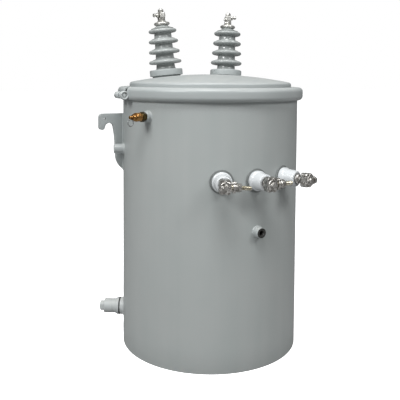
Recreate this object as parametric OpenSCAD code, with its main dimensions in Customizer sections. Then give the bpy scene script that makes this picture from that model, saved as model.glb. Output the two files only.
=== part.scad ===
// Single-phase pole mounted transformer: a round oil tank with a domed cover held by a
// clamp band, two high-voltage bushings on the cover, three low-voltage bushings on the
// front wall and two support lugs on the pole side.
// Origin: centre of the tank's underside. +Z up, the low-voltage side faces -Y,
// the pole side faces +Y. Angles round the tank run from the front (-Y) towards +X.

/* [Tank] */
// Outside diameter of the tank wall
tank_d = 500; // [460:1:520]
// Height of the tank wall
tank_h = 716.5; // [690:0.5:760]
// Thickness of the rolled steel wall
wall_t = 3; // [2:0.5:5]
// Thickness of the bottom plate
bottom_t = 4; // [3:0.5:8]
// Width of the rim ring round the top of the wall
rim_w = 9.5; // [8:0.5:14]

/* [Cover and clamp band] */
// Radius of the raised, domed part of the cover
dome_r = 232; // [225:1:236]
// Rise of the dome above its shoulder
dome_rise = 23; // [10:1:40]
// Height of the cover's upright side above the clamp band
cover_step = 12.5; // [7:0.5:20]
// Thickness of the cover sheet
cover_t = 3; // [2:0.5:4]
// Thickness of the rubber gasket between tank and cover
gasket_t = 3; // [2:0.5:5]
// Outside height of the clamp band
band_h = 36; // [32:1:42]
// Gap between the two ends of the clamp band
band_gap = 14; // [10:1:30]
// Angle of the band's closing bolt round the tank
band_angle = -90; // [-100:0.5:-80]

/* [High-voltage bushings] */
// Angle of each bushing from the front, to either side
hv_angle = 130; // [120:0.5:145]
// Distance of each bushing's foot from the tank axis
hv_r = 131; // [120:0.5:150]
// Outward lean of each bushing
hv_lean = 5.6; // [0:0.1:12]
// Number of sheds
hv_sheds = 4; // [2:1:5]
// Height from one shed to the next
hv_pitch = 30.2; // [26:0.1:34]

/* [Low-voltage bushings] */
// Height of the bushings' axes
lv_z = 497; // [440:1:560]
// Angle between neighbouring bushings
lv_step = 22.2; // [21:0.1:30]
// Length of the porcelain in front of the tank wall
lv_len = 46; // [40:1:70]

/* [Lifting lugs] */
// Distance of the lug plates behind the tank axis
lug_y = 95; // [90:1:110]
// Thickness of the lug plate
lug_t = 12; // [8:1:16]
// Height of the lug's top edge
lug_top = 656; // [630:1:670]

/* [Support lugs] */
// Height between the two pole bolts
support_pitch = 285.75; // [200:0.05:600]
// Height of the upper pole bolt
support_top_z = 560; // [480:1:620]
// Stand-off of the mounting face from the tank wall
support_out = 64; // [50:1:90]
// Width of a support lug
support_w = 110; // [90:1:140]
// Width of the bolt slot
slot_w = 17.5; // [14:0.5:22]
// End-to-end length of the bolt slot
slot_l = 36; // [30:1:45]

/* [Fittings] */
// Angle of the pressure relief valve
relief_angle = -69; // [-80:0.5:-60]
// Height of the pressure relief valve
relief_z = 657; // [630:1:670]
// Angle of the drain valve
drain_angle = -120; // [-130:1:-100]
// Height of the drain valve
drain_z = 81; // [60:1:120]
// Angle of the side bosses from the front, to either side
side_boss_angle = 104; // [100:1:106]
// Height of the side bosses
side_boss_z = 559; // [530:1:590]
// Height of the ground boss
ground_z = 364; // [300:1:420]
// Angle of the ground boss
ground_angle = 1; // [-10:0.5:10]

/* [Hidden] */
$fn = 96;
eps = 0.01;
fine = 360;                                 // sides of a cylinder that trims another part

tank_r = tank_d / 2;
rim_r = tank_r + rim_w;
cover_z = tank_h + gasket_t;                // underside of the cover's edge bead
bead_h = 11;                                // height of the cover's edge bead
bead_top = cover_z + bead_h;
band_t = 2.5;
band_top = bead_top + band_t;
band_low = band_top - band_h;
band_r = rim_r + band_t + 3;                // outside radius of the clamp band
lip_r = dome_r + 2.5;                       // inner edge of the band's upper lip
shoulder_z = band_top + cover_step;
shoulder_round = 7;

lug_x = 304.5;                              // reach of the lifting hook from the axis
paint = [0.66, 0.68, 0.67];
porcelain_grey = [0.72, 0.74, 0.74];
porcelain_white = [0.93, 0.94, 0.94];
steel = [0.72, 0.71, 0.69];
brass = [0.71, 0.49, 0.24];
rubber = [0.09, 0.09, 0.09];

// Points on an arc of radius r about (x, y), from angle a0 to a1
function arc(x, y, r, a0, a1, n = 8) =
    [for (i = [0 : n]) let (a = a0 + (a1 - a0) * i / n) [x + r * cos(a), y + r * sin(a)]];

function dome_z(r) = shoulder_z + dome_rise * (1 - pow(r / dome_r, 2));

// Stands a part on the tank wall at an angle and height, its own Z pointing outwards
module on_wall(angle, z) {
    rotate([0, 0, angle]) translate([0, -tank_r, z]) rotate([90, 0, 0]) children();
}

// The space that the closed tank fills, for trimming what stands on it
module tank_solid() {
    cylinder(r = tank_r, h = shoulder_z, $fn = fine);
}

// A part on the wall whose root is cut to the wall's curve
module welded(angle, z) {
    difference() {
        on_wall(angle, z) children();
        tank_solid();
    }
}

// Stands a part on the dome, its own Z along the leaning bushing
module on_dome(angle) {
    rotate([0, 0, angle]) translate([0, -hv_r, dome_z(hv_r)]) rotate([hv_lean, 0, 0]) children();
}

module hexagon(across, h) {
    cylinder(d = across / cos(30), h = h, $fn = 6);
}

// A hexagon with its corners turned off
module hex_nut(across, h) {
    intersection() {
        hexagon(across, h);
        cylinder(d1 = across * 1.02, d2 = across * 1.02 + 2 * h, h = h);
        cylinder(d1 = across * 1.02 + 2 * h, d2 = across * 1.02, h = h);
    }
}

module tank_wall() {
    color(paint) difference() {
        cylinder(r = tank_r, h = tank_h);
        translate([0, 0, -1]) cylinder(r = tank_r - wall_t, h = tank_h + 2);
    }
}

module tank_bottom() {
    color(paint) cylinder(r = tank_r - wall_t, h = bottom_t);
}

module tank_rim() {
    color(paint) translate([0, 0, band_low + band_t]) difference() {
        cylinder(r = rim_r, h = tank_h - band_low - band_t);
        translate([0, 0, -1]) cylinder(r = tank_r, h = tank_h);
    }
}

module cover_gasket() {
    color(rubber) translate([0, 0, tank_h]) difference() {
        cylinder(r = rim_r, h = gasket_t);
        translate([0, 0, -1]) cylinder(r = tank_r - 2, h = gasket_t + 2);
    }
}

// The cover is one pressing: dome, rounded shoulder, upright side and edge bead
module cover() {
    steps = 14;
    round_c = [dome_r - shoulder_round, shoulder_z - shoulder_round];
    outer = [for (i = [0 : steps]) let (r = (dome_r - 8) * i / steps) [r, dome_z(r)]];
    inner = [for (i = [steps : -1 : 0]) let (r = (dome_r - 8) * i / steps) [r, dome_z(r) - cover_t]];
    corner = arc(round_c[0], round_c[1] + 0.8, shoulder_round, 60, 0, 5);
    bead = concat([[dome_r, bead_top]], arc(rim_r - 3, bead_top - 3, 3, 90, 0, 4),
                  [[rim_r, cover_z], [dome_r - cover_t, cover_z],
                   [dome_r - cover_t, shoulder_z - shoulder_round]]);
    color(paint) rotate_extrude() polygon(concat(outer, corner, bead, inner));
}

// Section of the clamp band: a C that grips the rim ring and the cover's bead
module band_section() {
    top_round = 12;
    low_round = 12;
    outer = concat([[lip_r, band_top]],
                   arc(band_r - top_round, band_top - top_round, top_round, 90, 0, 7),
                   arc(band_r - low_round, band_low + low_round, low_round, 0, -90, 5),
                   [[tank_r + 1, band_low]]);
    inner = concat([[tank_r + 1, band_low + band_t]],
                   arc(band_r - low_round, band_low + low_round, low_round - band_t, -90, 0, 5),
                   arc(band_r - top_round, band_top - top_round, top_round - band_t, 0, 90, 7),
                   [[lip_r, band_top - band_t]]);
    polygon(concat(outer, inner));
}

module band_cut(width, reach = 2) {
    rotate([0, 0, band_angle]) translate([-width / 2, -band_r - 60, band_low - reach])
        cube([width, 90, band_h + 2 * reach]);
}

module clamp_band() {
    color(paint) difference() {
        rotate_extrude() band_section();
        band_cut(band_gap);
    }
}

bolt_r = band_r + 8;                        // distance of the closing bolt from the axis
bolt_z = band_low + 13.5;
barrel_r = 9.5;
barrel_l = 16;
bolt_d = 9.5;

// Frame of the closing bolt: X along the bolt towards the front, Y towards the axis
module at_bolt() {
    rotate([0, 0, band_angle]) translate([0, -bolt_r, bolt_z]) children();
}

// A drilled barrel on each end of the band, with a web that carries it
module band_lug(side) {
    color(paint) difference() {
        at_bolt() {
            translate([side * (band_gap / 2 + barrel_l / 2), 0, 0]) rotate([0, 90, 0])
                cylinder(r = barrel_r, h = barrel_l, center = true);
            translate([side * (band_gap / 2 + barrel_l / 2), 0, 0])
                translate([-barrel_l / 2, 0, -barrel_r]) cube([barrel_l, 9, 2 * barrel_r]);
        }
        cylinder(r = band_r, h = band_top + 5, $fn = fine);
        at_bolt() rotate([0, 90, 0]) cylinder(d = bolt_d + 1, h = 100, center = true);
    }
}

module band_lug_front() { band_lug(1); }
module band_lug_rear() { band_lug(-1); }

module band_bolt() {
    end = band_gap / 2 + barrel_l;
    color(steel) at_bolt() rotate([0, 90, 0]) {
        translate([0, 0, -end - 14]) cylinder(d = bolt_d, h = 2 * end + 14 + eps);
        translate([0, 0, end]) cylinder(r = 12, h = 2);
        translate([0, 0, end + 2 - eps]) cylinder(r1 = 11.5, r2 = 9.5, h = 6);
    }
}

module band_nut() {
    end = band_gap / 2 + barrel_l;
    color(steel) difference() {
        at_bolt() rotate([0, 90, 0]) translate([0, 0, -end - 9]) hex_nut(17, 9);
        at_bolt() rotate([0, 90, 0]) cylinder(d = bolt_d, h = 120, center = true);
    }
}

// Wound core and windings, plain, sealed inside the tank
module core_and_coils() {
    color([0.45, 0.3, 0.2]) translate([0, 0, bottom_t]) {
        translate([-95, -150, 0]) cube([190, 300, 340]);
        translate([-165, -75, 0]) cube([330, 150, 340]);
    }
}

seat_gap = 3.5;                             // height of the seat ring's set-in foot
flange_h = 18;
flange_r = 48;
flange_top = seat_gap + flange_h;
hv_core = [27.5, 24.5];                        // core radius at the foot and under the cap
hv_shed_r = 47.4;                           // radius of the lowest shed
hv_shed_taper = 2.2;                        // loss of radius from one shed to the next
hv_first = flange_top + 22.2;               // height of the lowest shed above the dome
hv_top = hv_first + (hv_sheds - 1) * hv_pitch + 17;

// One shed: flat underside, round rim and a top that slopes back to the core
function shed(core, rim, z, lip = 5.2) = concat(
    [[core, z - 9], [core + 3, z - 6.2]],
    arc(rim - lip, z, lip, -90, 80, 7),
    [[core + 7, z + 8.5], [core + 1.5, z + 10.5], [core, z + 13.5]]);

function core_r(z) = hv_core[0] + (hv_core[1] - hv_core[0]) * z / hv_top;

// The seat ring stands square to the bushing on a foot that follows the dome
module hv_flange(angle) {
    color(paint) difference() {
        on_dome(angle) {
            translate([0, 0, -8]) cylinder(r = flange_r - 6, h = 8 + seat_gap + eps);
            translate([0, 0, seat_gap]) cylinder(r = flange_r, h = flange_h);
        }
        rotate_extrude($fn = fine) polygon(concat(
            [for (i = [0 : 14]) let (r = (dome_r - 8) * i / 14) [r, dome_z(r)]],
            [[dome_r - 8, 0], [0, 0]]));
    }
}

module hv_porcelain(angle) {
    points = concat(
        [[0, flange_top], [core_r(0) + 5, flange_top], [core_r(0) + 0.5, flange_top + 4]],
        [for (i = [0 : hv_sheds - 1]) let (z = hv_first + i * hv_pitch)
            each shed(core_r(z), hv_shed_r - i * hv_shed_taper, z)],
        [[hv_core[1] - 3, hv_top], [0, hv_top]]);
    color(porcelain_grey) on_dome(angle) rotate_extrude() polygon(points);
}

cap_r = 23;
cap_h = 9;
cap_cone_h = 5;

// Tinned cap: a thick rounded ring and a low cone that carries the terminal
module hv_cap(angle) {
    points = concat([[0, 0], [cap_r - 4, 0]], arc(cap_r - 4, cap_h / 2, cap_h / 2, -90, 90, 8),
                    [[16, cap_h], [11, cap_h + cap_cone_h], [0, cap_h + cap_cone_h]]);
    color(steel) on_dome(angle) translate([0, 0, hv_top]) rotate_extrude() polygon(points);
}

hv_clamp_w = 20;                            // width of the clamp's casting
hv_clamp_z = 15.5;                          // height of its bolt above the cap's cone
hv_clamp_reach = 26;                        // reach of the bolt's end from the terminal's axis
hv_turn = [-45, -145];                      // where each clamp's bolt points
hv_lift = [0, 15];                          // how far it points upwards

// Clamp terminal: a post through a casting, with an eyebolt that leaves it sideways
module hv_terminal(angle, turn, lift) {
    color(steel) on_dome(angle) translate([0, 0, hv_top + cap_h + cap_cone_h]) {
        cylinder(r = 9.2, h = 6);
        cylinder(r = 5.5, h = 35.5);
        translate([0, 0, 24]) hex_nut(15, 9);
        rotate([0, 0, turn]) translate([0, 0, hv_clamp_z]) {
            translate([-8.5, -hv_clamp_w / 2, -11.5]) cube([17, hv_clamp_w, 18.5]);
            rotate([0, 90 - lift, 0]) {
                translate([0, 0, -12]) cylinder(r = 6.3, h = 24);
                translate([0, 0, 11.5]) hex_nut(11, 6);
                cylinder(r = 3, h = hv_clamp_reach);
            }
        }
    }
}

module h1_flange() { hv_flange(-hv_angle); }
module h1_porcelain() { hv_porcelain(-hv_angle); }
module h1_cap() { hv_cap(-hv_angle); }
module h1_terminal() { hv_terminal(-hv_angle, hv_turn[0], hv_lift[0]); }
module h2_flange() { hv_flange(hv_angle); }
module h2_porcelain() { hv_porcelain(hv_angle); }
module h2_cap() { hv_cap(hv_angle); }
module h2_terminal() { hv_terminal(hv_angle, hv_turn[1], hv_lift[1]); }

lv_root = 31;                               // radius of the gasket ring on the wall
lv_foot = 26;
lv_foot_l = 13;                             // where the foot's round shoulder ends
lv_nose = 21;
lv_recess = 2;                              // depth of the recess in the nose
gasket_l = 2;

module lv_gasket(angle) {
    color(rubber) welded(angle, lv_z) translate([0, 0, -4]) cylinder(r = lv_root, h = 4 + gasket_l);
}

// Foot with a round shoulder, a body that tapers and a nose with a round edge
module lv_porcelain(angle) {
    points = concat([[0, gasket_l], [lv_foot, gasket_l]],
        arc(lv_foot - 3, lv_foot_l - 3, 3, 0, 60, 3),
        [[lv_foot - 3, lv_foot_l + 3]], arc(lv_nose - 3, lv_len - 3, 3, 10, 90, 4),
        [[collar_r + 1.5, lv_len], [collar_r + 1.5, lv_len - lv_recess], [0, lv_len - lv_recess]]);
    color(porcelain_white) on_wall(angle, lv_z) rotate_extrude() polygon(points);
}

stud_r = 6.5;
collar_r = 13;                              // round collar under the clamp
collar_l = 9;
clamp_at = lv_len - lv_recess + collar_l;   // where the clamp starts, from the tank wall
clamp_l = 26;
clamp_mid = clamp_at + clamp_l / 2;

module lv_stud(angle, out) {
    color(steel) on_wall(angle, lv_z) translate([0, 0, lv_len - lv_recess]) {
        cylinder(r = collar_r, h = collar_l);
        cylinder(r = stud_r, h = collar_l + clamp_l + 3 + out);
    }
}

shank_r = 5.6;
shank_reach = [64, 64, 44];                 // reach of each eyebolt's end from its stud
saddle_r = 14.5;
saddle_at = 18;                             // where the saddle starts, from the stud's axis
clamp_droop = [4, 1, 7];                    // how far each eyebolt points downwards
clamp_out = [4, 0, 8];                      // how much further out each clamp sits on its stud

// Clamp casting on the stud, with an eyebolt that lies along the wall towards +X
module lv_clamp(i) {
    color(steel) difference() {
        on_wall((i - 1) * lv_step, lv_z) translate([0, 0, clamp_mid + clamp_out[i]])
            rotate([0, 90, -clamp_droop[i]]) {
            translate([0, 0, -18]) cylinder(r = 13, h = 32);
            translate([-11, -18.5, -14]) cube([22, 37, 24]);
            translate([0, 0, saddle_at]) {
                cylinder(r = saddle_r, h = 8);
                translate([0, 0, 9]) hex_nut(19, 12);
            }
            cylinder(r = shank_r, h = shank_reach[i]);
        }
        on_wall((i - 1) * lv_step, lv_z) cylinder(r = stud_r, h = 2 * clamp_mid);
    }
}

module x1_gasket() { lv_gasket(-lv_step); }
module x1_porcelain() { lv_porcelain(-lv_step); }
module x1_stud() { lv_stud(-lv_step, clamp_out[0]); }
module x1_clamp() { lv_clamp(0); }
module x2_gasket() { lv_gasket(0); }
module x2_porcelain() { lv_porcelain(0); }
module x2_stud() { lv_stud(0, clamp_out[1]); }
module x2_clamp() { lv_clamp(1); }
module x3_gasket() { lv_gasket(lv_step); }
module x3_porcelain() { lv_porcelain(lv_step); }
module x3_stud() { lv_stud(lv_step, clamp_out[2]); }
module x3_clamp() { lv_clamp(2); }

relief_root = 12;                           // length of the relief valve's weld boss

module relief_boss() {
    color(paint) welded(relief_angle, relief_z)
        translate([0, 0, -6]) cylinder(r = 13.5, h = 6 + relief_root);
}

module relief_valve() {
    color(brass) on_wall(relief_angle, relief_z) translate([0, 0, relief_root]) {
        hexagon(23, 15);
        translate([0, 0, 15 - eps]) cylinder(r = 11.3, h = 18);
        translate([0, 0, 33 - 2 * eps]) cylinder(r = 8, h = 9);
        translate([0, 0, 42 - 3 * eps]) cylinder(r = 5, h = 11);
    }
}

// Pull ring that hangs from the valve's stem
module relief_ring() {
    color(steel) on_wall(relief_angle, relief_z) translate([0, -13.4, relief_root + 48])
        rotate([90, 0, 90]) rotate_extrude() translate([9, 0]) circle(r = 1, $fn = 24);
}

nose_w = 16.3;                              // width of the hook's nose
arch_d = 26;                                // width of the hook's arch
arch_z = lug_top - 26.5;                      // top of the arch
nose_z = lug_top - 46;                      // tip of the nose
tag_hole_d = 6;

// A flat plate with a hook that is open downwards, so that a sling pulls up into the arch
module lug_outline() {
    root_x = tank_r - 25;
    neck_x = lug_x - nose_w - arch_d;
    difference() {
        polygon(concat(
            [[root_x, lug_top]], arc(lug_x - 9, lug_top - 9, 9, 90, 0, 6),
            arc(lug_x - nose_w / 2, nose_z + nose_w / 2, nose_w / 2, 0, -180, 8),
            [[lug_x - nose_w, arch_z], [neck_x, arch_z], [neck_x - 1, lug_top - 40],
             [neck_x - 4, lug_top - 64], [neck_x - 5.5, lug_top - 84], [neck_x - 6.9, lug_top - 116]],
            arc(neck_x - 58, lug_top - 118, 51, -2, -55, 8), [[root_x, lug_top - 165]]));
        translate([lug_x - nose_w - arch_d / 2, arch_z - arch_d / 2]) circle(d = arch_d);
        translate([lug_x - nose_w - arch_d / 2, arch_z - arch_d]) square([arch_d, arch_d], center = true);
        translate([lug_x - 16, lug_top - 14.5]) circle(d = tag_hole_d);
    }
}

module lifting_lug(side) {
    color(paint) difference() {
        translate([0, lug_y + lug_t / 2, 0]) rotate([90, 0, 0])
            linear_extrude(lug_t) scale([side, 1]) lug_outline();
        tank_solid();
    }
}

module lifting_lug_left() { lifting_lug(-1); }
module lifting_lug_right() { lifting_lug(1); }

side_boss_l = 28;
side_boss_bore = 6;

module side_boss(side) {
    color(paint) difference() {
        welded(side * side_boss_angle, side_boss_z)
            translate([0, 0, -6]) cylinder(r = 13, h = 6 + side_boss_l);
        on_wall(side * side_boss_angle, side_boss_z)
            translate([0, 0, side_boss_l - 20]) cylinder(r = side_boss_bore, h = 21);
    }
}

module side_boss_left() { side_boss(-1); }
module side_boss_right() { side_boss(1); }

support_t = 6;
support_h = 76;

// A bent channel: two legs on the tank wall and a slotted face towards the pole
module support_lug(z) {
    face_y = tank_r + support_out;
    color(paint) difference() {
        translate([-support_w / 2, 0, z - support_h / 2]) cube([support_w, face_y, support_h]);
        translate([-support_w / 2 + support_t, -1, z - support_h])
            cube([support_w - 2 * support_t, face_y - support_t + 1, 2 * support_h]);
        tank_solid();
        translate([0, face_y + 1, z]) rotate([90, 0, 0]) linear_extrude(support_t + 2) {
            square([slot_w, slot_l - slot_w], center = true);
            for (s = [-1, 1]) translate([0, s * (slot_l - slot_w) / 2]) circle(d = slot_w);
        }
    }
}

module support_lug_upper() { support_lug(support_top_z); }
module support_lug_lower() { support_lug(support_top_z - support_pitch); }

drain_weld_l = 12;                          // length of the drain's weld boss
drain_r = 24.5;
drain_gasket_t = 3;

module drain_boss() {
    color(paint) welded(drain_angle, drain_z)
        translate([0, 0, -6]) cylinder(r = drain_r, h = 6 + drain_weld_l);
}

module drain_gasket() {
    color(rubber) on_wall(drain_angle, drain_z)
        translate([0, 0, drain_weld_l]) cylinder(r = drain_r + 0.5, h = drain_gasket_t);
}

module drain_valve() {
    color(paint) on_wall(drain_angle, drain_z) translate([0, 0, drain_weld_l + drain_gasket_t]) {
        cylinder(r = drain_r, h = 10);
        translate([0, 0, 10 - eps]) cylinder(r = 20.5, h = 35);
        translate([0, 0, 45 - 2 * eps]) hexagon(26, 12.5);
    }
}

ground_r = 13.5;
ground_l = 20;
ground_bore = 6.35;                         // half of the half-inch thread

module ground_boss() {
    color(paint) difference() {
        welded(ground_angle, ground_z) translate([0, 0, -4]) cylinder(r = ground_r, h = 4 + ground_l);
        on_wall(ground_angle, ground_z) translate([0, 0, 4]) cylinder(r = ground_bore, h = ground_l);
    }
}

tank_wall();
tank_bottom();
tank_rim();
cover_gasket();
cover();
clamp_band();
band_lug_front();
band_lug_rear();
band_bolt();
band_nut();
core_and_coils();
h1_flange();
h1_porcelain();
h1_cap();
h1_terminal();
h2_flange();
h2_porcelain();
h2_cap();
h2_terminal();
x1_gasket();
x1_porcelain();
x1_stud();
x1_clamp();
x2_gasket();
x2_porcelain();
x2_stud();
x2_clamp();
x3_gasket();
x3_porcelain();
x3_stud();
x3_clamp();
relief_boss();
relief_valve();
relief_ring();
lifting_lug_left();
lifting_lug_right();
side_boss_left();
side_boss_right();
support_lug_upper();
support_lug_lower();
drain_boss();
drain_gasket();
drain_valve();
ground_boss();
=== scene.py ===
# %% [markdown]
# # A pole mounted transformer
# A round steel oil tank with a domed cover, a clamp band round the cover's edge, two tall
# grey porcelain bushings on top and three small white ones in front, each with a tinned
# clamp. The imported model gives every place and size. Here each piece is made again with
# its rounded edges, welds, threads and finishes, and stands exactly where the plain one was.

import math

import bmesh
import bpy
from mathutils import Matrix, Vector


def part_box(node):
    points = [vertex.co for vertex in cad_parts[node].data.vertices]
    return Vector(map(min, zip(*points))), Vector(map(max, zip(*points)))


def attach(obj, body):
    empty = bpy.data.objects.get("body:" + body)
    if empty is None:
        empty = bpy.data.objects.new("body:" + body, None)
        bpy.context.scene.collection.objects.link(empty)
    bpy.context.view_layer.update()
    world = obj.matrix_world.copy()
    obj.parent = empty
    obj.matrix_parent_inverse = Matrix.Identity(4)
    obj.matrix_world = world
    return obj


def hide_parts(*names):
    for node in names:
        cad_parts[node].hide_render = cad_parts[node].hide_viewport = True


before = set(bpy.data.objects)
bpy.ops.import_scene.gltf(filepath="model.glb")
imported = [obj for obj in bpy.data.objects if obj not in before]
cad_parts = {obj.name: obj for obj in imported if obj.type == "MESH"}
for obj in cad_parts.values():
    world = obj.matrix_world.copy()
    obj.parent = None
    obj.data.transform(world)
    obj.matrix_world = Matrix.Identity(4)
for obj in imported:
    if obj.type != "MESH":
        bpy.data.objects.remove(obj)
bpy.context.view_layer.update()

# %% [markdown]
# ## Places, read from the frame
# All drawing below is in millimetres, because that is how a fabricator's drawing reads.
# The tank's radius and height, and the angle and height of each fitting, come from the
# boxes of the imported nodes. A round fitting stands square to the wall, so the middle of
# its box lies on its axis, and the angle of that middle is the fitting's angle.

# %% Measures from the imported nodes
MM = 0.001


def box_mm(node):
    """Lowest corner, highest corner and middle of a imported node, in millimetres."""
    low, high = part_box(node)
    return low / MM, high / MM, (low + high) / 2 / MM


def wall_place(node):
    """Angle round the tank, from the front towards +X, and height of a fitting's axis."""
    middle = box_mm(node)[2]
    return math.degrees(math.atan2(middle.x, -middle.y)), middle.z


TANK_R = box_mm("tank_wall")[1].x
TANK_H = box_mm("tank_wall")[1].z
BAND_R = box_mm("clamp_band")[1].x
BAND_LOW, BAND_TOP = box_mm("clamp_band")[0].z, box_mm("clamp_band")[1].z
COVER_TOP = box_mm("cover")[1].z
print(f"tank radius {TANK_R:.1f}, height {TANK_H:.1f}, band radius {BAND_R:.1f}")

# %% [markdown]
# ## Hands and eyes: selecting in code
# Every modelling step below is one that a person would do by hand: add a primitive, go
# into edit mode, select something, extrude or bevel it. Loading the frame leaves its nodes
# selected, and an operator acts on all that is selected, so everything is deselected first.

# %% Selecting
def clear():
    """Object mode, with nothing selected."""
    if bpy.context.object and bpy.context.mode != "OBJECT":
        bpy.ops.object.mode_set(mode="OBJECT")
    bpy.ops.object.select_all(action="DESELECT")


def take(*pieces):
    """Selects these pieces; the first is the active one."""
    clear()
    for piece in pieces:
        piece.select_set(True)
    bpy.context.view_layer.objects.active = pieces[0]


def named(name):
    """Names the piece that was just added."""
    piece = bpy.context.object
    piece.name = piece.data.name = name
    return piece


def freeze():
    """Applies the selected piece's place and size to its mesh."""
    bpy.ops.object.transform_apply(location=True, rotation=True, scale=True)


def edit(piece, kind="FACE"):
    """Edit mode on one piece, selecting verts, edges or faces."""
    take(piece)
    bpy.ops.object.mode_set(mode="EDIT")
    bpy.ops.mesh.select_mode(type=kind)


def pick(test, kind="faces"):
    """In edit mode: selects the faces, edges or verts that pass a test, and counts them."""
    bpy.ops.mesh.select_all(action="DESELECT")
    mesh = bmesh.from_edit_mesh(bpy.context.object.data)
    found = [item for item in getattr(mesh, kind) if test(item)]
    for item in found:
        item.select_set(True)
    bmesh.update_edit_mesh(bpy.context.object.data)
    return len(found)


def apply(piece, kind, **settings):
    """Adds a modifier with these settings and applies it."""
    take(piece)
    made = piece.modifiers.new(kind.title(), kind)
    for name, value in settings.items():
        setattr(made, name, value)
    bpy.ops.object.modifier_apply(modifier=made.name)
    return piece


def soften(piece, width, segments=3, angle=35):
    return apply(piece, "BEVEL", width=width * MM, segments=segments,
                 limit_method="ANGLE", angle_limit=math.radians(angle))


def carve(piece, tool, operation="DIFFERENCE"):
    """Cuts a piece with a tool, or keeps what they share, and takes the tool away."""
    apply(piece, "BOOLEAN", operation=operation, solver="EXACT", object=tool)
    bpy.data.objects.remove(tool)

# %% [markdown]
# ## Turned pieces
# Porcelain, caps, bosses and rings are turned or pressed round an axis. The section is
# drawn as a chain of points, extruded one from another from a single corner, and spun a
# full turn. A section that starts and ends on the axis closes by itself at its poles, and
# one that comes back to its start makes a ring. Doubles are merged before the normals are
# made to point outwards.

# %% A lathe
def draw_chain(name, points):
    """A chain of edges through points (x, y, z) in millimetres, left in edit mode."""
    clear()
    bpy.ops.mesh.primitive_plane_add(size=MM)
    piece = named(name)
    edit(piece, "VERT")
    bpy.ops.mesh.select_all(action="SELECT")
    bpy.ops.mesh.merge(type="CENTER")
    bpy.ops.transform.translate(value=Vector(points[0]) * MM)
    for here, there in zip(points, points[1:]):
        step = (Vector(there) - Vector(here)) * MM
        bpy.ops.mesh.extrude_region_move(TRANSFORM_OT_translate={"value": step})
    bpy.ops.mesh.select_all(action="SELECT")
    return piece


def tidy_mesh(gap=0.002):
    """In edit mode: merges doubles, makes the normals consistent and leaves edit mode."""
    bpy.ops.mesh.select_all(action="SELECT")
    bpy.ops.mesh.remove_doubles(threshold=gap * MM)
    bpy.ops.mesh.normals_make_consistent(inside=False)
    bpy.ops.object.mode_set(mode="OBJECT")


def lathe(name, section, steps=96, start=0.0, sweep=360.0):
    """Spins a section of (radius, height) points about Z."""
    a = math.radians(start)
    piece = draw_chain(name, [(r * math.cos(a), r * math.sin(a), z) for r, z in section])
    bpy.ops.mesh.spin(steps=steps, angle=math.radians(sweep), center=(0, 0, 0), axis=(0, 0, 1))
    if sweep < 360:
        tidy_mesh()
        edit(piece, "EDGE")
        pick(lambda e: e.is_boundary, "edges")
        bpy.ops.mesh.edge_face_add()
    tidy_mesh()
    return piece


def arc(x, y, r, start, end, steps=6):
    """Points on an arc about (x, y)."""
    turns = [math.radians(start + (end - start) * i / steps) for i in range(steps + 1)]
    return [(x + r * math.cos(t), y + r * math.sin(t)) for t in turns]


def thread(r, low, high, pitch=1.6, depth=0.8):
    """Section of a screw thread between two heights, as close set V rings."""
    count = int((high - low) / pitch)
    rings = []
    for i in range(count):
        z = low + i * pitch
        rings += [(r - depth, z), (r, z + pitch * 0.4), (r, z + pitch * 0.6)]
    return rings + [(r - depth, low + count * pitch)]

# %% [markdown]
# ## Plates and blocks
# A plate is an outline closed to one face and extruded to its thickness. A block is a
# cube added at its size, with its edges rounded after. A hexagon is a cylinder with six
# sides: its corners are turned off by keeping only what it shares with a double cone, as
# a nut is chamfered on a lathe.

# %% Plates, blocks and hexagons
def plate(name, outline, thick):
    """An outline of (x, y) points as a plate from z = 0 up to its thickness."""
    piece = draw_chain(name, [(x, y, 0) for x, y in outline])
    bpy.ops.mesh.edge_face_add()
    bpy.ops.mesh.extrude_region_move(TRANSFORM_OT_translate={"value": (0, 0, thick * MM)})
    tidy_mesh()
    return piece


def block(name, size, middle, rounding):
    """A rectangular block about its middle, with its edges rounded."""
    clear()
    bpy.ops.mesh.primitive_cube_add(size=1, location=Vector(middle) * MM,
                                    scale=Vector(size) * MM)
    piece = named(name)
    freeze()
    return soften(piece, rounding) if rounding else piece


def rod(name, r, low, high, sides=48):
    """A bare round bar along Z, to cut with or to build on."""
    clear()
    bpy.ops.mesh.primitive_cylinder_add(vertices=sides, radius=r * MM, depth=(high - low) * MM,
                                        location=(0, 0, (low + high) / 2 * MM))
    piece = named(name)
    freeze()
    return piece


def hoop(name, r, thick, steps):
    """A ring of round section about Z."""
    clear()
    bpy.ops.mesh.primitive_torus_add(major_segments=steps, minor_segments=10,
                                     major_radius=r * MM, minor_radius=thick * MM)
    return named(name)


def hexagon(name, across, low, high, bore=0.0, chamfer=0.9):
    """A hexagonal piece along Z with its corners turned off at both ends."""
    corner = across / math.sqrt(3)
    piece = rod(name, corner, low, high, 6)
    r, far = across / 2, corner + 1
    slope = (far - r) * 0.55
    carve(piece, lathe("cutter", [(0, low), (r - chamfer, low), (far, low + slope),
                                  (far, high - slope), (r - chamfer, high), (0, high)], 48),
          "INTERSECT")
    if bore:
        carve(piece, rod("cutter", bore, low - 1, high + 1, 32))
    return soften(piece, 0.25, 2, 25)


def weld_together(name, *pieces):
    """Joins pieces into one object that keeps every part's own surface."""
    take(*pieces)
    bpy.ops.object.join()
    pieces[0].name = pieces[0].data.name = name
    return pieces[0]


def cast(name, *pieces, grain=0.8, melt=2):
    """Melts pieces into one casting: fine cubes over the whole form, then smoothed."""
    piece = weld_together(name, *pieces)
    apply(piece, "REMESH", mode="VOXEL", voxel_size=grain * MM)
    return apply(piece, "SMOOTH", factor=0.5, iterations=melt)


def move(piece, place):
    """Puts a piece in its place and leaves its object at the origin."""
    take(piece)
    piece.matrix_world = place @ piece.matrix_world
    freeze()
    return piece


def at(x=0.0, y=0.0, z=0.0):
    return Matrix.Translation(Vector((x, y, z)) * MM)


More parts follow.
